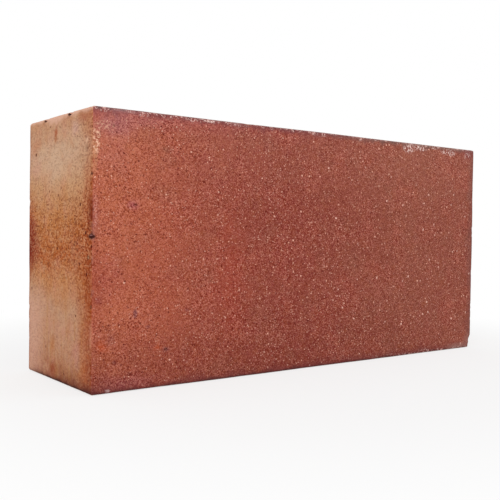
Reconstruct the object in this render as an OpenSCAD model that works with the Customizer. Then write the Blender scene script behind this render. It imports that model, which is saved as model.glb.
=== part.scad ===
// Solid fire brick, pressed and fired in one piece.
// It stands on one of its long narrow faces: X runs along the length, Y through the
// thickness and Z up. The origin is the centre of the face that it stands on, so the two
// large bed faces look along -Y and +Y, and the two header ends along -X and +X.

/* [Brick] */
// Length between the two header ends
brick_length = 230; // [180:1:300]
// Thickness between the two large bed faces
brick_thickness = 65; // [40:1:100]
// Height between the two long narrow faces
brick_height = 110; // [80:1:150]

/* [Arrises] */
// Radius of the four long arrises, which run along the length
long_arris_r = 1.2; // [0.6:0.1:3]
// Radius of the four upright arrises at the header ends
upright_arris_r = 1.4; // [0.6:0.1:3]
// Radius of the four short arrises, across the thickness at the header ends
short_arris_r = 1.8; // [0.6:0.1:3]

/* [Worn foot corner] */
// Height of the rubbed patch at the foot of the front upright arris on the +X end
foot_wear_height = 8; // [4:0.5:16]
// Depth of that patch, measured from the sharp corner
foot_wear_depth = 2.2; // [1.2:0.1:4]

/* [Pit in the upright arris] */
// Height of the pit above the foot, on the front upright arris of the -X end
pit_height = 61; // [20:1:70]
// Length of the pit along the arris
pit_length = 4; // [2:0.5:8]
// Depth of the pit, measured from the sharp arris
pit_depth = 1.5; // [1:0.1:2.5]

/* [Nicks in the header's upper arris] */
// Distance from the middle of the -X header's upper arris to the nick near the front
front_nick_offset = 12; // [4:1:15]
// Distance from the middle of that arris to the nick near the back
back_nick_offset = 13; // [4:1:15]
// Length of each nick along the arris
header_nick_length = 4.5; // [2:0.5:8]
// Depth of each nick, measured from the sharp arris
header_nick_depth = 1.6; // [1.2:0.1:2.5]

/* [Nick in the long upper arris] */
// Distance of the nick from the middle of the front upper arris, towards the -X end
long_nick_offset = 42; // [10:1:80]
// Length of the nick along the arris
long_nick_length = 6; // [3:0.5:10]
// Depth of the nick, measured from the sharp arris
long_nick_depth = 1.4; // [0.9:0.1:2.5]

/* [Hidden] */

CLAY_RED = [0.62, 0.35, 0.26];
$fn = 64;

// Where the faces lie
front_y = -brick_thickness / 2;
minus_end_x = -brick_length / 2;
plus_end_x = brick_length / 2;

// Unit distance along each axis of a direction that leaves an arris at 45 degrees
DIAGONAL = sqrt(0.5);

// Flat rectangle, centred, with round corners
module rounded_rectangle(width, depth, corner_r) {
    square([width - 2 * corner_r, depth], center = true);
    square([width, depth - 2 * corner_r], center = true);
    for (sx = [-1, 1], sy = [-1, 1])
        translate([sx * (width / 2 - corner_r), sy * (depth / 2 - corner_r)])
            circle(corner_r);
}

// Block that rounds only the long arrises
module long_arris_block() {
    rotate([90, 0, 90])
        linear_extrude(brick_length, center = true)
            rounded_rectangle(brick_thickness, brick_height, long_arris_r);
}

// Block that rounds only the upright arrises
module upright_arris_block() {
    linear_extrude(brick_height, center = true)
        rounded_rectangle(brick_length, brick_thickness, upright_arris_r);
}

// Block that rounds only the short arrises across the thickness
module short_arris_block() {
    rotate([90, 0, 0])
        linear_extrude(brick_thickness, center = true)
            rounded_rectangle(brick_length, brick_height, short_arris_r);
}

// Whole brick before any wear: what the three blocks have in common
module sound_brick() {
    translate([0, 0, brick_height / 2])
        intersection() {
            long_arris_block();
            upright_arris_block();
            short_arris_block();
        }
}

// Radius of the ball that bites a scoop of this length and depth out of a straight edge
function scoop_r(length, depth) = (length * length / 4 + depth * depth) / (2 * depth);

// Ball that bites a scoop at a point on an arris. outward is a unit vector that leaves
// the brick there, at right angles to the arris.
module scoop(at, outward, length, depth) {
    r = scoop_r(length, depth);
    translate(at + outward * (r - depth))
        sphere(r);
}

// Rubbed patch at the foot of the front upright arris on the +X end
module foot_wear() {
    scoop([plus_end_x, front_y, 0], [DIAGONAL, -DIAGONAL, 0],
          2 * foot_wear_height, foot_wear_depth);
}

// Pit in the front upright arris of the -X end
module arris_pit() {
    scoop([minus_end_x, front_y, pit_height], [-DIAGONAL, -DIAGONAL, 0],
          pit_length, pit_depth);
}

// Two nicks in the upper arris of the -X header
module header_nicks() {
    for (y = [-front_nick_offset, back_nick_offset])
        scoop([minus_end_x, y, brick_height], [-DIAGONAL, 0, DIAGONAL],
              header_nick_length, header_nick_depth);
}

// Nick in the long upper arris of the front bed face
module long_nick() {
    scoop([-long_nick_offset, front_y, brick_height], [0, -DIAGONAL, DIAGONAL],
          long_nick_length, long_nick_depth);
}

// The one fired piece
module fire_brick() {
    color(CLAY_RED)
        difference() {
            sound_brick();
            foot_wear();
            arris_pit();
            header_nicks();
            long_nick();
        }
}

fire_brick();
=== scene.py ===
"""Looks of a solid fire brick: one worn block of fired clay on a pale studio floor.

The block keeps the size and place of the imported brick. Its mesh has rounded, rubbed and
nicked arrises, and its clay finishes are worked out from positions on the brick in
millimetres: X along the length, Y through the thickness, Z up from the foot face.
"""

import logging
import math
from collections.abc import Callable
from dataclasses import dataclass
from enum import Enum
from functools import cache

import bpy
import numpy as np
from mathutils import Matrix, Vector


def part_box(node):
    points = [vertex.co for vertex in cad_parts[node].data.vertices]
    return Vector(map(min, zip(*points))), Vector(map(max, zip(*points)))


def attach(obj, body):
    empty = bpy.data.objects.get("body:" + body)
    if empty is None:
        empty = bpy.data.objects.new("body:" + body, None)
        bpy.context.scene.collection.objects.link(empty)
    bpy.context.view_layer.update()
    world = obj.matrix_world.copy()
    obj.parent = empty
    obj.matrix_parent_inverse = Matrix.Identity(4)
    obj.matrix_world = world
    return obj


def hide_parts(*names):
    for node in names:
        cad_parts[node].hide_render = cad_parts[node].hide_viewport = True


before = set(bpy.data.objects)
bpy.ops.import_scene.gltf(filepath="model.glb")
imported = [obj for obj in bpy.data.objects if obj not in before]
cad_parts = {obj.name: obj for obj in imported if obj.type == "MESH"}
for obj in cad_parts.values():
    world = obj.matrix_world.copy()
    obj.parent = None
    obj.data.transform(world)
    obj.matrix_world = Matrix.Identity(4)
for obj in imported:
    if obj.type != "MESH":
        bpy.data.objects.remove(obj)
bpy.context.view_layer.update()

MM = 0.001
ORIGIN = (0.0, 0.0, 0.0)
LOG = logging.getLogger("fire_brick")

Triple = tuple[float, float, float]
Rgb = tuple[int, int, int]
Array = np.ndarray
Object = bpy.types.Object
Socket = bpy.types.NodeSocket
Tree = bpy.types.NodeTree


def linear(colour: Rgb) -> tuple[float, ...]:
    """Turns a colour as it displays, 0 to 255, into a shader's linear values."""
    parts = (level / 255 for level in colour)
    return *(p / 12.92 if p <= 0.04045 else ((p + 0.055) / 1.055) ** 2.4 for p in parts), 1.0


def show(name: str, data: bpy.types.ID) -> Object:
    """Puts a mesh, lamp or camera into the scene.

    Args:
        name: Its name.
        data: The mesh, lamp or camera.

    Returns:
        Its object.
    """
    made = bpy.data.objects.new(name, data)
    bpy.context.scene.collection.objects.link(made)
    return made


def facing(place: Vector, way: Vector) -> Matrix:
    """Stands a lamp or camera at a place, looking a way."""
    return Matrix.Translation(place) @ way.to_track_quat("-Z", "Y").to_matrix().to_4x4()


def blank_material(name: str) -> bpy.types.Material:
    """Starts a material with no nodes.

    Args:
        name: Its name.

    Returns:
        The material.
    """
    made = bpy.data.materials.new(name)
    made.use_nodes = True
    made.node_tree.nodes.clear()
    return made


class Surface(Enum):
    """The three kinds of side that fire differently, as the name of their finish."""

    BED = "bed_clay"
    HEADER = "header_clay"
    LONG = "long_face_clay"


class Side(Enum):
    """The six sides of the brick: the axis they cross, the end of it, and how they lie flat.

    The next four values are the axis and sign that run to the right, then those that run
    up, for someone who looks at the side from outside. The last is the kind of surface.
    """

    MINUS_HEADER = (0, 0, 1, -1, 2, 1, Surface.HEADER)
    PLUS_HEADER = (0, 1, 1, 1, 2, 1, Surface.HEADER)
    FRONT_BED = (1, 0, 0, 1, 2, 1, Surface.BED)
    BACK_BED = (1, 1, 0, -1, 2, 1, Surface.BED)
    FOOT = (2, 0, 0, 1, 1, -1, Surface.LONG)
    UPPER = (2, 1, 0, 1, 1, 1, Surface.LONG)


class LatticeNoise:
    """Smooth seeded noise over space, the same on every run."""

    CELLS = 48

    def __init__(self, seed: int) -> None:
        """Draws the lattice's values from the seed."""
        self.values = np.random.default_rng(seed).uniform(-1, 1, (self.CELLS,) * 3)

    def at(self, points: Array, size: float) -> Array:
        """Samples the noise.

        Args:
            points: Places, one row each, in metres.
            size: Width of one lattice cell, in metres.

        Returns:
            One value from -1 to 1 for each place.
        """
        cell = np.floor(points / size).astype(int)
        part = points / size - cell
        part = part * part * (3 - 2 * part)
        total = np.zeros(len(points))
        for corner in np.ndindex(2, 2, 2):
            weight = np.prod(np.where(corner, part, 1 - part), axis=1)
            total += weight * self.values[tuple(((cell + corner) % self.CELLS).T)]
        return total


@dataclass(frozen=True)
class Scoop:
    """A ball-shaped bite out of an arris: its place, way out, length and depth in metres."""

    place: Triple
    outward: Triple
    length: float
    depth: float

    @property
    def radius(self) -> float:
        """Radius of the ball that bites this length and depth out of a straight edge."""
        return (self.length**2 / 4 + self.depth**2) / (2 * self.depth)

    @property
    def centre(self) -> Array:
        """Centre of the ball, outside the brick."""
        outward = np.array(self.outward) / np.linalg.norm(self.outward)
        return np.array(self.place) + outward * (self.radius - self.depth)


@dataclass
class WornBlock:
    """The brick's outer surface: a box with rounded, rubbed and nicked arrises, in metres."""

    low: Vector
    high: Vector
    long_arris_r: float = 1.0 * MM
    upright_arris_r: float = 1.0 * MM
    short_arris_r: float = 1.3 * MM
    rub_depth: float = 0.5 * MM
    warp_depth: float = 0.25 * MM
    grain_depth: float = 0.05 * MM
    arris_band: float = 6 * MM
    arris_cell: float = 0.5 * MM
    face_cell: float = 1.25 * MM
    chart_gap: float = 3 * MM
    seed: int = 31

    def __post_init__(self) -> None:
        """Works out the size and middle, and the bites in the arrises."""
        self.size = np.array(self.high - self.low)
        self.middle = np.array(self.low + self.high) / 2
        self.noise = LatticeNoise(self.seed)
        self.scoops = [*self.known_scoops(), *self.small_scoops()]

    def known_scoops(self) -> list[Scoop]:
        """Lists the worn foot corner, the pit and the nicks of the solid brick.

        Returns:
            A bite for each.
        """
        left, front, top = self.low.x, self.low.y, self.high.z
        return [
            Scoop((self.high.x, front, 0), (1, -1, 0), 16 * MM, 2.2 * MM),
            Scoop((left, front, 61 * MM), (-1, -1, 0), 4 * MM, 1.5 * MM),
            Scoop((left, -12 * MM, top), (-1, 0, 1), 4.5 * MM, 1.6 * MM),
            Scoop((left, 13 * MM, top), (-1, 0, 1), 4.5 * MM, 1.6 * MM),
            Scoop((-42 * MM, front, top), (0, -1, 1), 6 * MM, 1.4 * MM),
        ]

    def small_scoops(self) -> list[Scoop]:
        """Scatters small chips along all twelve arrises.

        Returns:
            A bite for each.
        """
        draw = np.random.default_rng(self.seed)
        chips = []
        for along in range(3):
            across = [axis for axis in range(3) if axis != along]
            count = round(self.size[along] / (14 * MM))
            for ends in np.ndindex(2, 2):
                for _ in range(count):
                    place = np.array(self.low)
                    place[along] += draw.uniform(0.04, 0.96) * self.size[along]
                    outward = np.zeros(3)
                    for axis, end in zip(across, ends):
                        place[axis] = (self.low, self.high)[end][axis]
                        outward[axis] = (-1, 1)[end] * draw.uniform(0.7, 1.3)
                    length = draw.uniform(1.5, 4.5) * MM
                    depth = draw.uniform(0.7, 1.1) * MM
                    chips.append(Scoop(tuple(place), tuple(outward), length, depth))
        return chips

    def cuts(self, length: float) -> Array:
        """Places the grid lines along one side, close together near both arrises.

        Args:
            length: Length of the side.

        Returns:
            Distances from the low end.
        """
        fine = np.linspace(0, self.arris_band, round(self.arris_band / self.arris_cell) + 1)
        count = round((length - 2 * self.arris_band) / self.face_cell) + 1
        wide = np.linspace(self.arris_band, length - self.arris_band, count)
        return np.concatenate([fine, wide[1:-1], (length - fine)[::-1]])

    def arris_radius(self, points: Array) -> Array:
        """Blends the radii of the arrises near each point, and adds the rubbed stretches.

        Args:
            points: Places on the sharp box, from its middle.

        Returns:
            A radius for each place.
        """
        gap = self.size / 2 - np.abs(points)
        pairs = ((1, 2, self.long_arris_r), (0, 1, self.upright_arris_r), (0, 2, self.short_arris_r))
        weights, total = 0.0, 0.0
        for first, second, radius in pairs:
            near = 1 / (np.hypot(gap[:, first], gap[:, second]) + 0.3 * MM) ** 3
            weights += near
            total += near * radius
        rub = np.clip(self.noise.at(points, 14 * MM) + 0.15 * self.noise.at(points, 3 * MM), 0, 1)
        return total / weights + self.rub_depth * rub

    def worn(self, points: Array) -> tuple[Array, Array]:
        """Wears the sharp box down to the brick's surface.

        Args:
            points: Places on the sharp box, from its middle.

        Returns:
            The worn places in the row's frame, and how far each chip reached, 0 to 1.
        """
        radius = self.arris_radius(points)[:, None]
        core = np.clip(points, -self.size / 2 + radius, self.size / 2 - radius)
        outward = points - core
        outward /= np.linalg.norm(outward, axis=1)[:, None]
        warp = 0.5 + 0.5 * self.noise.at(points, 45 * MM)
        grain = 0.5 + 0.5 * self.noise.at(points, 2.2 * MM)
        sink = self.warp_depth * warp + self.grain_depth * grain
        places = core + outward * (radius - sink[:, None]) + self.middle
        chipped = np.zeros(len(points))
        rough = 1 + 0.04 * self.noise.at(points + 1, 1.4 * MM)
        for scoop in self.scoops:
            offset = places - scoop.centre
            reach = np.linalg.norm(offset, axis=1)
            edge = scoop.radius * rough
            inside = reach < edge
            chipped[inside] = np.maximum(
                chipped[inside], np.clip((edge - reach)[inside] / (0.3 * MM), 0, 1)
            )
            places[inside] += offset[inside] * (edge / reach - 1)[inside, None]
        half = self.size / 2
        return np.clip(places, self.middle - half, self.middle + half), chipped

    def build(self) -> Object:
        """Makes the closed mesh with its finish slots, chart and chip mask.

        Returns:
            The brick's object.
        """
        lines = [self.cuts(length) for length in self.size]
        shell = np.zeros([len(line) for line in lines], bool)
        for axis in range(3):
            np.moveaxis(shell, axis, 0)[[0, -1]] = True
        number = np.full(shell.shape, -1)
        number[shell] = np.arange(shell.sum())
        steps = np.argwhere(shell)
        sharp = np.stack([lines[axis][steps[:, axis]] for axis in range(3)], 1) - self.size / 2
        quads, kinds, chart, slots = [], [], [], list(Surface)
        for side in Side:
            corners = self.side_quads(side, number)
            quads.append(corners)
            kinds.append(np.full(len(corners), slots.index(side.value[6])))
            chart.append(self.side_chart(side, sharp[corners.ravel()]))
        places, chipped = self.worn(sharp)
        mesh = bpy.data.meshes.new("brick_body")
        mesh.from_pydata(places.tolist(), [], np.concatenate(quads).tolist())
        mesh.polygons.foreach_set("material_index", np.concatenate(kinds).astype(np.int32))
        mesh.polygons.foreach_set("use_smooth", np.ones(len(mesh.polygons), bool))
        mesh.uv_layers.new(name="OFBake").data.foreach_set("uv", np.concatenate(chart).ravel())
        mesh.attributes.new("chipped", "FLOAT", "POINT").data.foreach_set("value", chipped)
        mesh.validate()
        mesh.update()
        return show("brick_body", mesh)

    def side_quads(self, side: Side, number: Array) -> Array:
        """Lists one side's quads, each wound to face outwards.

        Args:
            side: The side of the brick.
            number: Vertex number at each grid step, -1 inside the block.

        Returns:
            Four vertex numbers for each quad.
        """
        axis, end = side.value[:2]
        order = (axis, (axis + 1) % 3, (axis + 2) % 3)
        grid = np.transpose(number, order)[-end]
        ring = [grid[:-1, :-1], grid[1:, :-1], grid[1:, 1:], grid[:-1, 1:]]
        if end == 0:
            ring.reverse()
        return np.stack([part.ravel() for part in ring], 1)

    def side_chart(self, side: Side, points: Array) -> Array:
        """Lays one side flat on the shared square chart, all sides at one scale.

        Args:
            side: The side of the brick.
            points: Places on the sharp box, from its middle.

        Returns:
            A chart place for each point, from 0 to 1.
        """
        length, thickness, height = self.size + self.chart_gap
        _, end, right, right_sign, up, up_sign, surface = side.value
        column = length if surface is Surface.HEADER else 0
        row = (2 * height if surface is Surface.LONG else 0) + end * (self.size[up] + self.chart_gap)
        across = right_sign * points[:, right] + self.size[right] / 2 + column
        along = up_sign * points[:, up] + self.size[up] / 2 + row
        sheet = 2 * (height + thickness) + self.chart_gap
        return (np.stack([across, along], 1) + self.chart_gap / 2) / sheet


def sign(operation: str, swapped: bool = False) -> Callable:
    """Makes what an arithmetic sign does between a field and a value.

    Args:
        operation: What the maths node does.
        swapped: Whether the value comes before the field.

    Returns:
        What the sign does.
    """
    def work(*values: object) -> "Field":
        """Works it out with the maths node of that name."""
        return values[0].graph.work(operation, *(values[::-1] if swapped else values))

    return work


class Field:
    """A number, vector or colour that varies over the surface, to write sums with.

    A mask times a mask holds only where both do.
    """

    __abs__, __add__, __sub__ = sign("ABSOLUTE"), sign("ADD"), sign("SUBTRACT")
    __mul__, __truediv__, at_least = sign("MULTIPLY"), sign("DIVIDE"), sign("MAXIMUM")
    __rsub__ = sign("SUBTRACT", swapped=True)

    def __init__(self, graph: "Graph", socket: Socket) -> None:
        """Holds the socket that gives it, and the graph where it lies."""
        self.graph, self.socket = graph, socket
        self.wide = socket.type in ("VECTOR", "RGBA")

    def signed(self) -> "Field":
        """Spreads what runs from 0 to 1 over -1 to 1."""
        return self * 2 - 1

    def rise(self, low: object, high: object) -> "Field":
        """Rises smoothly from 0 to 1, or falls.

        Args:
            low: Where it is 0.
            high: Where it is 1, which may lie below low.

        Returns:
            The value, 0 to 1.
        """
        feeds = (self, low, high)
        node = self.graph.add("MapRange", feeds, interpolation_type="SMOOTHSTEP")
        return Field(self.graph, node.outputs["Result"])

    def bell(self, middle: float, reach: float) -> "Field":
        """Rises smoothly to 1 at the middle and falls to 0 at its reach on both sides."""
        return abs(self - middle).rise(reach, 0)


class Graph:
    """Adds shader nodes to one node tree and wires them."""

    def __init__(self, tree: Tree) -> None:
        """Starts on a tree, which it keeps as it is."""
        self.tree = tree

    def add(self, kind: str, feeds: dict | tuple = (), **settings: object) -> bpy.types.Node:
        """Adds a node.

        Args:
            kind: Its kind, as Blender names it after ShaderNode.
            feeds: What goes into its inputs, in order or by their name or number.
            settings: Its settings.

        Returns:
            The node.
        """
        node = self.tree.nodes.new("ShaderNode" + kind)
        for name, value in settings.items():
            setattr(node, name, value)
        for name, value in feeds.items() if isinstance(feeds, dict) else enumerate(feeds):
            self.feed(node.inputs[name], value)
        return node

    def feed(self, socket: Socket, value: object) -> None:
        """Links a field or an output into an input, or sets the input to a plain value.

        Args:
            socket: The input.
            value: The field, output, number, triple or colour.
        """
        value = getattr(value, "socket", value)
        if isinstance(value, Socket):
            self.tree.links.new(value, socket)
        elif socket.type == "RGBA":
            socket.default_value = linear(value)
        elif socket.type == "VECTOR" and not isinstance(value, tuple):
            socket.default_value = (value,) * 3
        else:
            socket.default_value = value

    def work(self, operation: str, *values: object, clamp: bool = False) -> Field:
        """Works out one number or vector from others.

        Args:
            operation: What the maths node does.
            values: Fields and plain values, of which a wide field makes it vector maths.
            clamp: Whether a number is kept from 0 to 1.

        Returns:
            The result.
        """
        if any(getattr(value, "wide", False) for value in values):
            node = self.add("VectorMath", values, operation=operation)
            return Field(self, node.outputs["Value" if operation == "LENGTH" else "Vector"])
        node = self.add("Math", values, operation=operation, use_clamp=clamp)
        return Field(self, node.outputs[0])

    def coordinates(self) -> Field:
        """Gives the place on the object, in metres."""
        return Field(self, self.add("TexCoord").outputs["Object"])

    def blend(self, factor: object, under: object, over: object) -> Field:
        """Lays one colour over another by a factor."""
        feeds = {0: factor, 6: under, 7: over}
        return Field(self, self.add("Mix", feeds, data_type="RGBA").outputs[2])

    def noise(self, position: Field, size: object, detail: float = 2,
              roughness: float = 0.5) -> Field:
        """Samples soft noise.

        Args:
            position: The place, in millimetres.
            size: Width of its features, in millimetres.
            detail: How many finer layers it has.
            roughness: How strong those are.

        Returns:
            A value about 0.5.
        """
        scale = self.work("DIVIDE", 1, size)
        feeds = {"Vector": position, "Scale": scale, "Detail": detail, "Roughness": roughness}
        return Field(self, self.add("TexNoise", feeds).outputs["Fac"])

    def cells(self, position: Field, size: object) -> list[Field]:
        """Parts the clay into uneven cells.

        Args:
            position: The place, in millimetres.
            size: Width of a cell, in millimetres.

        Returns:
            How far the cell's middle is, in cells, and three draws for each cell, 0 to 1.
        """
        feeds = {"Vector": position, "Scale": self.work("DIVIDE", 1, size)}
        node = self.add("TexVoronoi", feeds, feature="F1")
        draws = self.add("SeparateColor", {"Color": node.outputs["Color"]})
        return [Field(self, socket) for socket in (node.outputs["Distance"], *draws.outputs)]

    def ramp(self, value: Field, *stops: tuple[float, Rgb]) -> Field:
        """Turns a value into a colour between stops.

        Args:
            value: A value from 0 to 1.
            stops: Each value in order, with its colour.

        Returns:
            The colour.
        """
        node = self.add("ValToRGB", {"Fac": value})
        elements = node.color_ramp.elements
        while len(elements) < len(stops):
            elements.new(1)
        for element, (place, colour) in zip(elements, stops):
            element.position = place
            element.color = linear(colour)
        return Field(self, node.outputs["Color"])

    def place(self, group: Tree, *inputs: object) -> list[Field]:
        """Places a node group with its inputs in order, and gives its outputs."""
        node = self.add("Group", inputs, node_tree=group)
        return [Field(self, socket) for socket in node.outputs]


class Group(Graph):
    """A shader node group in the making, with named inputs and outputs."""

    def __init__(self, name: str, **inputs: object) -> None:
        """Starts the group.

        Args:
            name: Its name.
            inputs: Each input's name and its usual value, a number or a triple.
        """
        super().__init__(bpy.data.node_groups.new(name, "ShaderNodeTree"))
        for label, value in inputs.items():
            kind = "NodeSocketVector" if isinstance(value, tuple) else "NodeSocketFloat"
            made = self.tree.interface.new_socket(name=label, in_out="INPUT", socket_type=kind)
            made.default_value = value
        given = self.tree.nodes.new("NodeGroupInput").outputs
        self.given = [Field(self, given[label]) for label in inputs]

    def give(self, **outputs: Field) -> Tree:
        """Gives the group its outputs.

        Args:
            outputs: Each output's name and what it gives, all numbers.

        Returns:
            The group's tree.
        """
        make = self.tree.interface.new_socket
        for label in outputs:
            make(name=label, in_out="OUTPUT", socket_type="NodeSocketFloat")
        ends = self.tree.nodes.new("NodeGroupOutput").inputs
        for end, value in zip(ends, outputs.values()):
            self.feed(end, value)
        return self.tree


@cache
def grain_group() -> Tree:
    """Makes the clay's grain: a signed shade from grit of two sizes and cloud, and a hue.

    Returns:
        The group's tree.
    """
    g = Group("Clay grain", Position=ORIGIN, Size=0.45, Grit=1, Coarse=0.4, Cloud=0.2)
    place, size, grit, coarse, cloud = g.given
    shade = g.noise(place, size * 9, 1).signed() * cloud
    hue: object = 0
    for amount, times in ((grit, 1), (coarse, 2.3)):
        _, red, green, _ = g.cells(place, size * times)
        shade = red.signed() * amount + shade
        hue = green.signed() * 0.5 + hue
    return g.give(Value=shade, Hue=hue)


@cache
def specks_group() -> Tree:
    """Makes scattered specks of uneven size: sand grains, pores or crumbs.

    Returns:
        The group's tree.
    """
    g = Group("Specks", Position=ORIGIN, Spacing=3, Radius=0.4, Share=0.5, Softness=0.5)
    place, spacing, radius, share, softness = g.given
    distance, red, green, blue = g.cells(place, spacing)
    reach = radius * (green * 0.9 + 0.4)
    chosen = g.work("LESS_THAN", red, share) * (blue * 0.75 + 0.25)
    return g.give(Mask=(distance * spacing).rise(reach, reach * (1 - softness)) * chosen)


@cache
def flecks_group() -> Tree:
    """Makes short crooked flecks, as a thin crust leaves where it has flaked.

    Returns:
        The group's tree.
    """
    g = Group("Flecks", Position=ORIGIN, Size=2, Breadth=0.06)
    place, size, breadth = g.given
    line = abs(g.noise(place, size, 1) - 0.5).rise(breadth, breadth * 0.3)
    apart = g.noise(place + (31, 17, 5), size, 1)
    return g.give(Mask=line * apart.rise(0.44, 0.54))


@cache
def patch_group() -> Tree:
    """Makes one soft-edged patch at a place, its outline pushed about by a drift.

    Returns:
        The group's tree.
    """
    g = Group("Patch", Position=ORIGIN, Drift=ORIGIN, Centre=ORIGIN, Reach=(5, 5, 5),
              Softness=0.6, Wobble=1)
    place, drift, centre, reach, softness, wobble = g.given
    offset = (place - centre + drift * wobble) / reach
    return g.give(Mask=g.work("LENGTH", offset).rise(1, 1 - softness))


@cache
def arrises_group() -> Tree:
    """Measures how far a place is from the nearest long, upright and short arris.

    Returns:
        The group's tree.
    """
    g = Group("Arris distances", Position=ORIGIN, Middle=ORIGIN, Half=(1, 1, 1))
    place, middle, half = g.given
    gap = half - abs(place - middle)
    across = {"Long": (0, 1, 1), "Upright": (1, 1, 0), "Short": (1, 0, 1)}
    return g.give(**{name: g.work("LENGTH", gap * axes) for name, axes in across.items()})


@cache
def band_group() -> Tree:
    """Turns a distance from an arris into a band, its width pushed about by a swell.

    Returns:
        The group's tree.
    """
    g = Group("Band", Distance=0, Swell=0, Width=2, Softness=0.5, Unevenness=0.5)
    distance, swell, width, softness, unevenness = g.given
    width = (swell * unevenness + 1).at_least(0.1) * width
    return g.give(Mask=distance.rise(width, width * (1 - softness)))


@cache
def smears_group() -> Tree:
    """Makes upright smears, as a wiped or dragged face has, about 0.

    Returns:
        The group's tree.
    """
    g = Group("Smears", Position=ORIGIN, Width=2, Length=20)
    place, width, length = g.given
    stretch = g.add("CombineXYZ", {"X": width, "Y": width, "Z": length})
    drawn = place / Field(g, stretch.outputs[0])
    return g.give(Value=g.noise(drawn, 1).signed() * 2)


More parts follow.
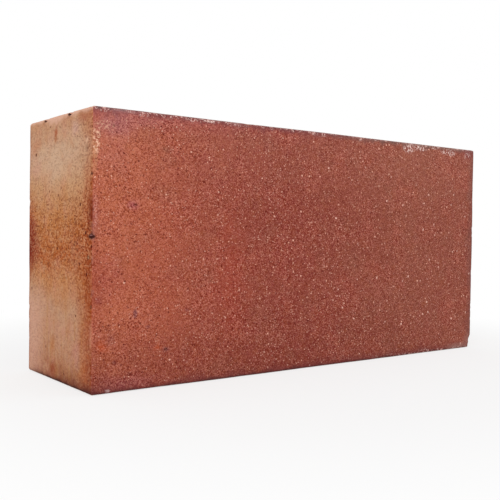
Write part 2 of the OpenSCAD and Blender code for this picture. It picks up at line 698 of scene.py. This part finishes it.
@dataclass
class ClayFinish(Graph):
    """What the three fired surfaces have in common; each lays its own tone and marks.

    While it is laid, a finish is a colour, a relief in millimetres and a roughness. Places
    and sizes are in millimetres, and strengths and softness run from 0 to 1.
    """

    name: str
    low: Vector
    high: Vector
    marked_end: bool = False
    grain_size: float = 0.38
    grain_stretch: Triple = (1, 1, 1)
    grit: float = 1.1
    coarse: float = 0.12
    cloud: float = 0.1
    grain_light: float = 0.29
    grain_dark: float = 0.58
    grain_height: float = 0.1
    hue_play: float = 0.1
    bump_strength: float = 0.5
    specular_level: float = 0.1
    pale_grain: Rgb = (242, 162, 142)
    dark_grain: Rgb = (104, 8, 0)
    warm_grain: Rgb = (186, 112, 44)
    cool_grain: Rgb = (150, 66, 84)

    def __post_init__(self) -> None:
        """Starts the material, and reads the position and the arris distances."""
        self.left, self.front = self.low.x / MM, self.low.y / MM
        self.right, self.back, self.top = (value / MM for value in self.high)
        self.made = blank_material(self.name)
        super().__init__(self.made.node_tree)
        self.position = self.coordinates() * (1 / MM)
        axes = self.add("SeparateXYZ", {0: self.position})
        self.x, self.y, self.z = (Field(self, socket) for socket in axes.outputs)
        middle = self.top / 2
        half = (self.right, self.back, middle)
        gaps = self.place(arrises_group(), self.position, (0, 0, middle), half)
        self.long, self.upright, self.short = gaps
        self.upper = self.z.rise(middle, middle + 1)
        self.lower = 1 - self.upper
        self.colour: object = None
        self.height: object = 0
        self.rough: object = 0.88
        self.drifts: dict[float, tuple[Field, Field]] = {}
        self.ragged = self.position + self.drift(0.8)[0] * 0.45

    def drift(self, run: float) -> tuple[Field, Field]:
        """Gives a drift and a swell, which marks share.

        Args:
            run: The length over which they vary.

        Returns:
            A vector and a number, both about 0.
        """
        if run not in self.drifts:
            noise = self.noise(self.position, run)
            colour = Field(self, noise.socket.node.outputs["Color"])
            self.drifts[run] = (colour - 0.5) * 2, noise * 4 - 2
        return self.drifts[run]

    def tint(self, colour: object, strength: object, *masks: Field, lift: float = 0) -> None:
        """Lays a colour over what is there.

        Args:
            colour: The colour.
            strength: How strongly it covers.
            masks: Where it is laid, which is where all of them hold.
            lift: How far the relief rises there.
        """
        mask = math.prod(masks[1:], start=masks[0])
        factor = self.work("MULTIPLY", mask, strength, clamp=True)
        self.colour = self.blend(factor, self.colour, colour)
        if lift:
            self.height = mask * lift + self.height

    def clouds(self, colour: Rgb, strength: float, size: float, shift: float = 0) -> None:
        """Tints soft clouds of a size; each shift gives others."""
        noise = self.noise(self.position + shift, size)
        self.tint(colour, strength, (noise.signed() * 2).at_least(0))

    def flecks(self, size: float, breadth: float, shift: float = 0) -> Field:
        """Makes the mask of short crooked flecks; each shift gives others."""
        return self.place(flecks_group(), self.position + shift, size, breadth)[0]

    def smears(self, width: float, length: float) -> Field:
        """Makes upright smears, as a value above 0."""
        smears = self.place(smears_group(), self.position, width, length)
        return smears[0].at_least(0)

    def specks(self, spacing: float, radius: float, share: object, softness: float = 0.5,
               shift: float = 0) -> Field:
        """Scatters specks.

        Args:
            spacing: How far they lie apart.
            radius: Their radius.
            share: How many of the places have one.
            softness: How soft they are.
            shift: Each gives another scatter.

        Returns:
            Their mask.
        """
        where = self.ragged + (shift, 2.3 * shift, 1.7 * shift)
        inputs = (where, spacing, radius, share, softness)
        return self.place(specks_group(), *inputs)[0]

    def band(self, distance: Field, width: float, softness: float = 0.5,
             unevenness: float = 0.5, run: float = 6) -> Field:
        """Makes a band along some arrises, its width swelling over a run by its unevenness."""
        inputs = (distance, self.drift(run)[1], width, softness, unevenness)
        return self.place(band_group(), *inputs)[0]

    def patch(self, centre: Triple, reach: Triple, softness: float = 0.7,
              wobble: float = 1, run: float = 3) -> Field:
        """Makes one soft-edged patch, its outline straying over a run by its wobble."""
        inputs = (self.position, self.drift(run)[0], centre, reach, softness, wobble)
        return self.place(patch_group(), *inputs)[0]

    def tint_patch(self, centre: Triple, reach: Triple, colour: Rgb, strength: float = 0.8,
              softness: float = 0.7, wobble: float = 0.8, run: float = 3) -> None:
        """Lays a patch of a colour, placed and shaped as a patch is, for stains and painted light
        alike.
        """
        self.tint(colour, strength, self.patch(centre, reach, softness, wobble, run))

    def mark(self, along: float, up: float, reach: Triple, colour: Rgb, *edge: float) -> None:
        """Lays a patch of colour on the side that shows its marks, its last values as for such a
        patch.
        """
        centre = (self.left, along, up) if self.marked_end else (along, self.front, up)
        self.tint_patch(centre, reach, colour, *edge)

    def material(self) -> bpy.types.Material:
        """Lays the whole finish.

        Returns:
            The material.
        """
        self.lay_tone()
        self.lay_stains()
        self.lay_grain()
        self.lay_specks()
        self.lay_chips()
        self.lay_arrises()
        bump = self.add("Bump", {
            "Strength": self.bump_strength, "Distance": MM, "Height": self.height,
        })
        shader = self.add("BsdfPrincipled", {
            "Specular IOR Level": self.specular_level, "Base Color": self.colour,
            "Roughness": self.rough, "Normal": bump.outputs["Normal"],
        })
        self.add("OutputMaterial", {"Surface": shader.outputs["BSDF"]})
        return self.made

    def lay_tone(self) -> None:
        """Lays the broad colour of the surface."""

    def lay_stains(self) -> None:
        """Lays the marks that the kiln left under the grain, if there are any."""

    def lay_grain(self) -> None:
        """Lays the fine light and dark grain over the tone, and its relief."""
        inputs = (self.grain_size, self.grit, self.coarse, self.cloud)
        place = self.position / self.grain_stretch
        value, hue = self.place(grain_group(), place, *inputs)
        value = value * self.grain_amount()
        self.tint(self.pale_grain, self.grain_light, value.at_least(0))
        self.tint(self.dark_grain, self.grain_dark, (value * -1).at_least(0))
        self.tint(self.warm_grain, self.hue_play, hue.at_least(0))
        self.tint(self.cool_grain, self.hue_play, (hue * -1).at_least(0))
        self.height = value * self.grain_height + self.height
        self.rough = value * 0.05 + 0.87

    def grain_amount(self) -> object:
        """Says how strong the grain is, everywhere the same unless a finish says otherwise."""
        return 1

    def lay_specks(self) -> None:
        """Scatters the sand grains, pores and spots."""

    def lay_chips(self) -> None:
        """Shows the darker, rougher clay inside the chips of the arrises."""
        chip = self.add("Attribute", attribute_name="chipped").outputs["Fac"]
        mottle = self.noise(self.position, 1.2, 2, 0.6)
        broken = self.ramp(mottle, (0.35, (95, 58, 62)), (0.65, (176, 118, 104)))
        self.tint(broken, 0.6, Field(self, chip))

    def lay_arrises(self) -> None:
        """Lays the worn lines and crusts along the arrises, and any painted shade and highlights
        there.
        """


@dataclass
class BedFinish(ClayFinish):
    """The two large faces: red clay, orange at one end and browner at the other."""

    sand: Rgb = (248, 190, 168)
    crumb: Rgb = (232, 188, 178)
    crust: Rgb = (244, 190, 160)
    pore: Rgb = (88, 4, 0)
    iron: Rgb = (88, 32, 28)

    def lay_tone(self) -> None:
        """Runs the clay from orange-red at the -X end to brown-red at the +X end."""
        wander = self.noise(self.position, 40).signed() * 0.06
        share = (self.x - self.left) / (self.right - self.left)
        self.colour = self.ramp(
            share + wander,
            (0.04, (185, 100, 71)), (0.13, (174, 89, 65)), (0.21, (159, 79, 60)),
            (0.30, (144, 67, 53)), (0.42, (136, 60, 48)), (0.60, (137, 67, 53)),
            (0.75, (140, 76, 60)), (0.95, (141, 74, 59)),
        )
        # Paler under the upper arris, darker towards the foot and most at the -X end
        self.tint((206, 134, 112), 0.15, self.z.rise(self.top - 40, self.top - 6))
        leftwards = self.x.rise(40, self.left)
        foot = self.z.rise(36, 0) * self.x.rise(105, 55)
        self.tint((106, 46, 39), 0.22, foot, leftwards)
        self.tint((114, 46, 36), 0.42, foot)
        self.tint((169, 84, 94), 0.5, self.z.rise(self.top - 9, self.top), leftwards)
        # Tan clay of the header that reaches round the upper part of the -X arris
        high = self.z.bell(93, 13) * self.work("LESS_THAN", self.x, 0)
        self.tint((197, 134, 94), 1, self.band(self.upright, 2.6, 0.6, 1.2, 2.5), high)
        # Broad reddish and brownish clouds, and small warm and mauve ones
        self.clouds((169, 67, 51), 0.3, 15)
        self.clouds((130, 82, 64), 0.3, 11, 50)
        self.clouds((181, 99, 55), 0.14, 3.5, 20)
        self.clouds((159, 76, 73), 0.18, 4.5, 70)

    def lay_stains(self) -> None:
        """Lays the marks that the kiln left on the front bed face, near the -X end."""
        mark, greyed, mauve, flame = self.mark, (136, 78, 76), (172, 106, 106), (182, 76, 40)
        # Warm and violet clouds
        mark(-50, 46, (13, 4, 42), (168, 62, 46), 0.35, 0.7, 8, 15)
        mark(-106, 104, (14, 4, 10), mauve, 0.85, 1, 4, 6)
        mark(-94, 106, (22, 4, 6), mauve, 0.4, 1, 3, 6)
        mark(-107, 91, (10, 4, 8), (184, 108, 98), 0.4, 1, 3, 6)
        mark(-108, 44, (10, 4, 15), (162, 74, 66), 0.5, 1, 4, 6)
        mark(-63, 92, (7, 4, 6), (156, 74, 70), 0.35, 1, 3, 6)
        mark(-110.6, 18.7, (4, 4, 3.4), flame, 0.7, 1, 2)
        mark(-86, 16.5, (2.4, 4, 1.6), flame, 0.8, 1, 1.2)
        mark(-106.6, 21, (2.6, 4, 3.8), (158, 96, 84), 0.6, 1, 1.2)
        mark(-82.5, 95.8, (4, 4, 2.2), (132, 86, 66), 0.5, 1)
        # Iron spots, the first with a violet ring
        mark(-97.5, 73, (3.8, 4, 3.2), (162, 78, 84), 0.9, 1)
        mark(-96.4, 73.2, (1, 4, 0.8), (84, 14, 6), 1, 0.7, 0.2)
        mark(-96.2, 30.5, (1.4, 4, 2.5), greyed, 1, 0.7, 0.4)
        mark(-82.2, 15.3, (2.8, 4, 1.9), greyed, 0.9, 1, 0.6)
        mark(-82.2, 15.3, (1.3, 4, 0.9), (66, 18, 16), 1, 0.7, 0.2)
        mark(-72.2, 30.7, (1.4, 4, 1.2), greyed, 0.7, 1, 0.3)
        mark(-90.4, 24.9, (1.9, 4, 1.3), greyed, 0.7, 1, 0.3)
        mark(-112.2, 36.2, (2.6, 4, 2.4), (140, 66, 66), 0.9, 1)
        mark(-105.2, 12, (1.9, 4, 1.6), (96, 22, 22), 0.9, 1)
        mark(-101, 3, (22, 4, 6), (138, 72, 80), 0.5, 1, 2, 6)
        mark(-98.4, 6.9, (1.2, 4, 1.2), self.pore, 0.8, 0.7, 0.3)

    def grain_amount(self) -> Field:
        """Makes the grain stronger in some clouds and fainter in others."""
        return self.drift(15)[1] * 0.42 + 1

    def lay_specks(self) -> None:
        """Scatters sand grains, more to +X, and pores and iron spots, more to -X."""
        rightwards = self.x.rise(self.left + 15, self.left + 110)
        fine = self.specks(1, 0.3, rightwards * 0.3 + 0.24)
        self.tint(self.sand, 0.85, fine, lift=0.06)
        middling = self.specks(2.3, 0.42, rightwards * 0.27 + 0.08, shift=7)
        self.tint(self.sand, 0.9, middling, lift=0.1)
        large = self.specks(7, 0.54, rightwards * 0.3 + 0.12, shift=3)
        self.tint(self.crumb, 0.95, large, lift=0.15)
        share = self.x.rise(-45, 50) * (self.y.rise(1, -1) * 0.5 + 0.1)
        crumbs = self.specks(4.8, 0.8, share, 0.4, 15)
        self.tint((244, 196, 180), 0.95, crumbs, lift=0.1)
        fine_pores = self.specks(1.3, 0.4, rightwards * -0.25 + 0.6, shift=5)
        self.tint(self.pore, 0.82, fine_pores, lift=-0.15)
        open_pores = self.specks(4.6, 0.55, rightwards * -0.08 + 0.2, 0.25, 11)
        self.tint(self.pore, 1, open_pores, lift=-0.4)
        self.tint(self.iron, 0.6, self.specks(19, 1.2, 0.35, 0.8, 29))

    def lay_arrises(self) -> None:
        """Lays the long arrises' grey lines and crumbs, painted shade along the foot, and the
        upright ones' marks.
        """
        rightmost = self.x.rise(-20, 60)
        greyer = self.blend(rightmost, (126, 68, 68), (122, 88, 80))
        self.tint(greyer, 0.85, self.band(self.long, 3.4, 0.9, 0.6, 4), self.upper)
        rubbed = self.band(self.long, 0.9, 0.9, 0.3, 4)
        self.tint((190, 150, 148), 0.5, rubbed, self.upper)
        # Painted shade: a darker band and a dark line along the foot arris, where the brick meets
        # the floor
        foot = self.band(self.long, 5, 1, 0.5, 9)
        self.tint((112, 52, 52), 0.7, foot, self.lower)
        sole_shade = self.band(self.long, 1.8, 0.9, 0.6, 4)
        self.tint((84, 44, 42), 0.85, sole_shade, self.lower)
        self.tint((114, 76, 72), 0.5, self.band(self.upright, 7, 1), rightmost)
        self.lay_crumbs()
        self.lay_crust()
        self.mark_corners()

    def lay_crumbs(self) -> None:
        """Sticks dark and pale crumbs along the long arrises, most by the upper +X end."""
        rightwards = self.x.rise(20, 100)
        soot = self.band(self.long, 1.1, 0.5, 1) * self.upper
        self.tint((62, 30, 34), 0.8, soot, self.flecks(1.6, 0.1, 60))
        fringe = self.band(self.long, 1.8, 0.5, 1, 9) * self.upper.at_least(rightwards)
        heaps = self.flecks(1, 0.12, 80).at_least(self.specks(1.5, 0.62, 0.5, 0.5, 33))
        reach: object = 0
        for x, down, width, height in ((61, 3, 6, 2.9), (70, 2.6, 6, 2.2), (82, 1.4, 5, 1.2),
                                       (93, 2.8, 8, 2.2), (109, 3.6, 3, 2), (-61, 0.7, 7, 1.1)):
            centre = (x, self.front, self.top - down)
            reach = self.patch(centre, (width, 5, height), 0.6, 1.6, 5).at_least(reach)
        self.tint((126, 60, 58), 0.35, reach)
        greyed = self.band(self.long, 1.5, 0.8, 0.6, 2) * rightwards
        self.tint((140, 116, 102), 0.55, greyed, self.upper)
        self.tint(self.crumb, 0.85, fringe, self.flecks(1.2, 0.09, 40), lift=0.2)
        self.tint((242, 206, 196), 1, heaps, reach, lift=0.2)

    def lay_crust(self) -> None:
        """Lays the pale flaked crusts by the upper part of the -X end."""
        flecks = self.flecks(1.2, 0.16)
        upright = self.patch((-113.2, self.front, 97.5), (2, 3, 7), 0.5, 1, 2)
        self.tint(self.crust, 0.95, flecks, upright, lift=0.3)
        upper = self.patch((-109.5, self.front, 103), (5, 3, 2.2), 0.6, 1, 2)
        self.tint(self.crust, 0.45, flecks, upper, lift=0.3)
        haze = self.patch((-114, self.front, 70), (2.6, 3, 9), 0.6, 1, 2)
        self.tint((244, 176, 158), 0.8, self.flecks(1.3, 0.07, 9), haze)

    def mark_corners(self) -> None:
        """Lays the marks on the arrises of the -X end over the grain, and the pit's painted shade
        and painted highlight.
        """
        mark, left, top = self.mark, self.left, self.top
        for x, width, height in ((-112.2, 1.9, 1.2), (-107.4, 2.2, 1), (-102.1, 2.3, 1.3)):
            reach = (width, 2, height)
            mark(x, top - 0.2, reach, (66, 34, 36), 0.9, 0.7, 0.8, 2)
        mark(-103, top, (13, 2, 2.6), (196, 150, 150), 0.45, 1, 1.2, 2)
        mark(110, top, (14, 3, 9), (132, 62, 68), 0.5, 1, 1.5)
        mark(113, 5, (7, 3, 6), (160, 116, 106), 0.5, 1, 1.5)
        mark(-43.4, top - 0.3, (1.8, 3, 1.3), (56, 22, 22), 1, 0.7, 0.4, 2)
        mark(-48, top, (5, 2, 2.4), (164, 126, 122), 0.8, 1, 1.2, 2)
        mark(left, 0, (14, 3, 7), (92, 40, 40), 0.65, 1, 1.5)
        mark(103, 1.5, (14, 3, 3), (170, 132, 122), 0.5, 1, 1.5, 2)
        mark(left, 68, (4.5, 3, 15), (158, 86, 78), 0.55, 1, 1.5)
        mark(left, 40, (9, 3, 22), (156, 70, 50), 0.45, 1, 1.5)
        mark(left, 71.5, (1.2, 2, 8), (96, 28, 12), 0.9, 0.8, 0.9, 2)
        # Painted shade inside the pit, then a small painted highlight just above its middle
        mark(left, 60.6, (2, 2.5, 1.1), (50, 12, 8), 0.95, 0.4, 0.3, 2)
        mark(left + 0.6, 61.2, (0.7, 1, 0.28), (196, 150, 148), 0.75, 0.7, 0.1)
        mark(left, 84.4, (0.9, 1.5, 1), (78, 34, 30), 0.9, 0.7, 0.2)
        mark(left, 41, (0.8, 2, 11), (112, 48, 34), 0.85, 0.8, 0.5, 2)
        mark(left + 0.7, 23, (0.5, 1.2, 5.5), (216, 140, 112), 0.4, 1, 0.7, 1.5)
        mark(-108, 1.2, (1.3, 2, 1.1), (206, 176, 174), 0.75, 1, 0.8, 2)


@dataclass
class HeaderFinish(ClayFinish):
    """The two ends: tan clay, orange in the middle, with pale clouds above and below."""

    marked_end: bool = True
    grain_size: float = 0.62
    grain_stretch: Triple = (1, 1.7, 1)
    grain_light: float = 0.23
    grain_dark: float = 0.5
    pale_grain: Rgb = (238, 184, 142)
    dark_grain: Rgb = (104, 30, 0)
    warm_grain: Rgb = (200, 130, 60)
    cool_grain: Rgb = (176, 96, 84)

    def lay_tone(self) -> None:
        """Runs the clay from tan at the top through orange-brown to pale pinkish tan."""
        self.colour = self.ramp(
            self.z / self.top + self.drift(20)[1] * 0.04,
            (0.04, (161, 103, 73)), (0.14, (189, 140, 111)), (0.29, (193, 148, 118)),
            (0.39, (193, 128, 80)), (0.48, (175, 88, 35)), (0.60, (190, 119, 65)),
            (0.73, (200, 150, 109)), (0.85, (204, 167, 138)), (0.97, (197, 148, 115)),
        )
        self.clouds((205, 142, 120), 0.4, 8)
        self.clouds((177, 111, 65), 0.4, 4.5, 40)
        self.clouds((207, 168, 132), 0.4, 3, 90)
        self.clouds((152, 88, 58), 0.2, 2.2, 60)
        self.tint((181, 126, 69), 0.55, self.smears(2, 14), self.z.rise(60, 20))
        self.tint((211, 164, 143), 0.75, self.y.rise(5, 30), self.z.rise(40, 28))
        self.lay_borders()

    def lay_borders(self) -> None:
        """Browns the clay towards the upright arrises, most at the -Y one."""
        upright, y, z = self.upright, self.y, self.z
        near = y.rise(5, -5)
        wide = self.band(upright, 15, 1, 0.35, 9)
        less = z.rise(72, 92) * -0.54 + 1
        self.tint((173, 84, 38), less, wide, near)
        wider = self.band(upright, 26, 1, 0.3, 9) * z.bell(42, 26)
        self.tint((160, 74, 24), 0.65, wider, near)
        frayed = self.drift(4)[1] * 1.1 + (self.drift(0.8)[1] * 0.9 + y)
        stripe = frayed.bell(self.front + 1.5, 8) * (z.rise(6, 38) * 0.7 + 0.3)
        self.tint((132, 38, 6), less * 0.15, stripe)
        self.tint((156, 62, 8), 0.35, z.bell(66, 16), y.rise(-2, -20))
        burnt = self.band(upright, 8, 0.9, 0.5, 4) * z.rise(34, 20)
        self.tint((142, 78, 58), 0.6, burnt, near)
        self.tint((150, 66, 38), less * 0.7, self.band(upright, 1.6, 0.6, 1.4, 1.8), near)
        opposite = 1 - near
        far = opposite * z.bell(60, 24)
        self.tint((160, 50, 0), 0.95, wide, far)
        self.tint((158, 98, 72), far * -0.6 + 0.7, self.band(upright, 3.5, 1), opposite)
        edge = self.band(upright, 1.6, 1)
        self.tint((112, 60, 36), z.rise(94, 78) * 0.6, edge, opposite)

    def grain_amount(self) -> Field:
        """Makes the middle of the header grainier than the pale clouds over and under it."""
        beside = self.y.rise(self.front + 22, self.front + 4) * 0.35
        return self.z.bell(59, 30) * 0.74 + (beside + (self.z.rise(60, 90) * 0.12 + 0.4))

    def lay_stains(self) -> None:
        """Lays the marks that the kiln left on the -X header."""
        mark = self.mark
        mark(-17, 103, (4, 6, 5), (209, 165, 149), 0.7, 1, 2, 6)
        mark(3, 90, (4, 24, 13), (208, 173, 144), 0.75, 0.9, 5, 12)
        mark(24, 99, (4, 9, 5), (189, 125, 90), 0.6, 1, 3, 6)
        mark(24, 89, (4, 9, 6), (207, 155, 135), 0.6, 1, 3, 6)
        mark(2.4, 103.2, (4, 2.6, 2.4), (164, 84, 50), 0.85, 0.7, 1.4, 2)
        mark(2.6, 100.4, (4, 2.1, 2.8), (170, 104, 62), 0.75, 0.7, 0.8, 2)
        mark(34, 56, (4, 18, 20), (117, 27, 16), 1, 1, 1.5, 6)
        mark(-27.6, 94.2, (4, 2.6, 2.4), (139, 100, 80), 0.7, 1, 1.2)
        mark(-27.5, 97.4, (4, 1.8, 1.6), (227, 185, 155), 0.8, 1, 1)
        mark(5, 15, (4, 3, 7), (185, 116, 60), 0.6, 1, 1.5)
        mark(4.5, 5, (4, 6, 6), (151, 71, 40), 0.8, 1, 1.5)
        mark(-18, 13, (4, 7, 8), (185, 123, 110), 0.6, 1, 3, 6)
        mark(-14, 2, (4, 22, 6), (113, 54, 45), 0.6, 1, 2)
        mark(-29.3, 52.6, (4, 1.6, 1.3), (111, 94, 71), 0.8, 0.7, 0.8)

    def lay_specks(self) -> None:
        """Scatters dark pores of three sizes and pale grains, most of them in the middle."""
        share = self.z.bell(59, 36) * 0.5 + 0.1
        self.tint((104, 34, 4), 0.85, self.specks(1.3, 0.5, share, shift=1), lift=-0.1)
        self.tint((92, 24, 6), 0.85, self.specks(3.4, 0.6, share, shift=4), lift=-0.25)
        self.tint((80, 10, 0), 1, self.specks(5.6, 0.8, 0.6, 0.4, 9), lift=-0.4)
        self.tint((232, 186, 146), 0.5, self.specks(2.4, 0.5, share * 0.6, shift=13))

    def lay_arrises(self) -> None:
        """Lays the painted highlight of the upper arris, painted shade along the foot and the burnt
        near upright arris.
        """
        # Painted highlight: a pale strip along the rounded upper arris
        self.tint((222, 174, 150), 0.95, self.band(self.short, 2.5, 0.8), self.upper)
        # Painted shade: a darker band and a dark line along the foot arris, where the brick meets
        # the floor, fading towards +Y
        shaded_foot = self.y.rise(40, 6) * self.lower
        self.tint((108, 44, 30), 0.75, self.band(self.short, 4.5, 1, 0.4), shaded_foot)
        self.tint((54, 28, 26), 0.9, self.band(self.short, 2, 0.7, 0.4), shaded_foot)
        close = self.band(self.upright, 5, 0.8, 0.6) * self.y.rise(-20, -26)
        spots = self.specks(2, 0.7, 0.45, 0.4, 21)
        self.tint((96, 30, 14), self.z.rise(86, 68) * 0.55 + 0.3, spots, close)
        self.mark_corners()

    def mark_corners(self) -> None:
        """Lays the marks on the arrises of the -X header over the grain, with painted highlights on
        the upper arris and by the pit, and painted shade in the nicks and the pit.
        """
        mark, front, top = self.mark, self.front, self.top
        # Painted highlight on the upper arris between its two nicks
        mark(3, top - 1.4, (3, 13, 3.2), (222, 174, 150), 0.85, 0.8, 1.6, 2)
        mark(front + 8, top - 3.6, (3, 9, 3.2), (174, 104, 76), 0.8, 1, 1.6, 2)
        # Painted shade in the two nicks of the upper arris
        for y, width, height, colour in ((-11, 2.4, 1.4, (56, 20, 12)),
                                         (14, 2.2, 1.2, (84, 44, 28))):
            centre = (self.left + 0.6, y, top - 0.8)
            self.tint_patch(centre, (2.2, width, height), colour, 1, 0.6, 0.6, 2)
        mark(front, 0, (3, 16, 7), (92, 40, 34), 0.7, 1, 1.5)
        mark(front + 1, 70.5, (2, 4.5, 11), (112, 36, 16), 0.8, 1, 2, 1.5)
        # Painted shade inside the pit, then a small painted highlight just above its middle
        mark(front, 60.6, (2, 4.2, 1.4), (52, 14, 10), 0.95, 0.5, 0.4, 2)
        mark(front + 1, 61.1, (1.2, 1.3, 0.4), (176, 124, 120), 0.75, 0.7, 0.1)
        mark(front + 2.5, 44, (2, 4, 16), (134, 50, 14), 0.4, 1, 1.8, 1.5)
        mark(front + 0.5, 22.5, (2, 2.6, 8), (200, 132, 104), 0.75, 1, 1, 1.5)
        mark(front + 0.5, 44, (2, 2.2, 7), (186, 106, 78), 0.5, 1, 1, 1.5)
        mark(front, 33.8, (1.5, 1.6, 1.6), (64, 30, 24), 0.9, 0.7, 0.4)
        mark(front, 84.4, (1.5, 2, 1), (72, 32, 28), 0.9, 0.6, 0.2)


@dataclass
class LongFinish(ClayFinish):
    """The two long narrow faces: red clay with paler and darker fired clouds."""

    crumb: Rgb = (240, 205, 186)

    def lay_tone(self) -> None:
        """Mixes red and tan clay in broad clouds, browner towards the short arrises."""
        self.colour = self.ramp(
            self.noise(self.position, 35, 3, 0.6),
            (0.30, (146, 78, 60)), (0.50, (160, 88, 64)), (0.70, (184, 122, 92)),
        )
        self.clouds((132, 66, 50), 0.5, 9)
        self.clouds((192, 112, 66), 0.3, 4, 30)
        self.clouds((150, 86, 84), 0.3, 5, 80)
        self.tint((172, 100, 66), 0.6, self.band(self.short, 14, 1, 0.4, 9))

    def lay_specks(self) -> None:
        """Scatters sand grains, pores and iron spots."""
        self.tint((236, 182, 156), 0.8, self.specks(1.2, 0.34, 0.4))
        self.tint(self.crumb, 0.9, self.specks(4, 0.5, 0.3, shift=7), lift=0.12)
        self.tint((84, 36, 30), 0.85, self.specks(3.4, 0.6, 0.4, shift=11), lift=-0.4)
        self.tint((70, 54, 74), 0.7, self.specks(16, 1.2, 0.4, 0.8, 29))

    def lay_arrises(self) -> None:
        """Lays the greyed line of the long arrises and the rubbed short ones."""
        self.tint((134, 92, 90), 0.8, self.band(self.long, 1.6, 0.7, 0.6, 4))
        self.tint((216, 166, 140), 0.8, self.band(self.short, 2.6))
        loose = self.band(self.long, 3, 0.4, 1, 14)
        self.tint(self.crumb, 0.9, self.specks(1.8, 0.55, 0.45, 0.4, 17), loose, lift=0.2)


@dataclass
class FireBrick:
    """The one piece: its worn body in the place of the solid, with a finish for each side."""

    node: str = "fire_brick"

    def build(self) -> Object:
        """Makes the body, dresses it and ties it to the frame.

        Returns:
            The brick's object.
        """
        low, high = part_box(self.node)
        brick = WornBlock(low, high).build()
        for surface, finish in zip(Surface, (BedFinish, HeaderFinish, LongFinish)):
            brick.data.materials.append(finish(surface.value, low, high).material())
        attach(brick, "root")
        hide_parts(self.node)
        return brick


@dataclass
class Studio:
    """Pale floor, white surroundings and soft lamps."""

    floor_half: float = 6.0
    floor_shade: float = 0.86
    shadow_near: float = 0.12
    shadow_far: float = 0.27
    shadow_share: float = 0.3
    world_level: float = 0.68
    camera_white: float = 1.0
    aim: Triple = (0.0, 0.0, 0.05)

    def build(self) -> list[Object]:
        """Makes the surroundings, the floor and the lamps.

        Returns:
            The floor and the lamps.
        """
        self.surround()
        return [
            self.floor(),
            self.lamp("key_lamp", (-1.35, -1.45, 1.6), 1.4, 24.0),
            self.lamp("fill_lamp", (1.6, -1.0, 1.2), 1.6, 4.0),
        ]

    def seen(self, g: Graph) -> Field:
        """Picks out the rays that show the surroundings.

        Args:
            g: The graph to work in.

        Returns:
            1 for rays that show them: seen, mirrored or through glass.
        """
        path = g.add("LightPath").outputs
        direct = Field(g, path["Is Camera Ray"]) + path["Is Glossy Ray"]
        return g.work("ADD", direct, path["Is Transmission Ray"], clamp=True)

    def surround(self) -> None:
        """Makes the world plain white where it shows, and an even soft light elsewhere."""
        world = bpy.data.worlds.new("surroundings")
        bpy.context.scene.world = world
        world.use_nodes = True
        g = Graph(world.node_tree)
        background = world.node_tree.nodes["Background"].inputs
        background["Color"].default_value = (1, 1, 1, 1)
        level = self.seen(g) * (self.camera_white - self.world_level) + self.world_level
        g.feed(background["Strength"], level)

    def floor(self) -> Object:
        """Lays a pale floor that shows white but keeps part of the brick's shadow.

        Returns:
            The floor.
        """
        half = self.floor_half
        corners = [(-half, -half, 0), (half, -half, 0), (half, half, 0), (-half, half, 0)]
        mesh = bpy.data.meshes.new("floor")
        mesh.from_pydata(corners, [], [(0, 1, 2, 3)])
        made = blank_material("pale_floor")
        g = Graph(made.node_tree)
        away = g.work("LENGTH", g.coordinates())
        kept = away.rise(self.shadow_far, self.shadow_near) * self.shadow_share
        plain = g.add("BsdfDiffuse")
        plain.inputs["Color"].default_value = (*[self.floor_shade] * 3, 1)
        glow = g.add("Emission", {"Strength": self.camera_white})
        mixed = g.add("MixShader", {
            0: self.seen(g) * (1.0 - kept), 1: plain.outputs[0], 2: glow.outputs[0],
        })
        g.add("OutputMaterial", {"Surface": mixed.outputs[0]})
        mesh.materials.append(made)
        floor = show("floor", mesh)
        return floor

    def lamp(self, name: str, place: Triple, width: float, watts: float) -> Object:
        """Hangs a square soft lamp that faces the brick.

        Args:
            name: Its name.
            place: Its place.
            width: Its width.
            watts: Its power.

        Returns:
            The lamp.
        """
        data = bpy.data.lights.new(name, "AREA")
        data.size = width
        data.energy = watts
        lamp = show(name, data)
        lamp.matrix_world = facing(Vector(place), Vector(self.aim) - Vector(place))
        return lamp


@dataclass
class StudioCamera:
    """A camera just below the brick's mid height, close to its near upright arris."""

    lens_mm: float = 54.5
    sensor_mm: float = 36.0
    nearest: float = 10 * MM
    heading_deg: float = 36.86
    pitch_deg: float = -1.45
    roll_deg: float = 0.74
    distance: float = 380 * MM
    aim: Triple = (-10.3 * MM, 7.7 * MM, 53.9 * MM)

    def build(self) -> Object:
        """Makes the camera and gives it to the scene.

        Returns:
            The camera.
        """
        heading, pitch = math.radians(self.heading_deg), math.radians(self.pitch_deg)
        forward = Vector((math.sin(heading) * math.cos(pitch),
                          math.cos(heading) * math.cos(pitch), math.sin(pitch)))
        data = bpy.data.cameras.new("camera")
        data.lens = self.lens_mm
        data.sensor_width = self.sensor_mm
        data.clip_start = self.nearest
        camera = show("camera", data)
        roll = Matrix.Rotation(math.radians(self.roll_deg), 4, "Z")
        place = Vector(self.aim) - forward * self.distance
        camera.matrix_world = facing(place, forward) @ roll
        bpy.context.scene.camera = camera
        return camera


def report_piece(piece: Object) -> None:
    """Logs a piece's name and, for a mesh, its number of faces."""
    faces = len(piece.data.polygons) if piece.type == "MESH" else 0
    LOG.info("%s: %s, %d faces", piece.name, piece.type.lower(), faces)


def main() -> None:
    """Builds the camera, the brick and the studio in order."""
    logging.basicConfig(level=logging.INFO, format="%(message)s")
    bpy.context.scene.view_settings.view_transform = "Standard"
    for piece in (StudioCamera().build(), FireBrick().build(), *Studio().build()):
        report_piece(piece)


if __name__ == "__main__":
    main()
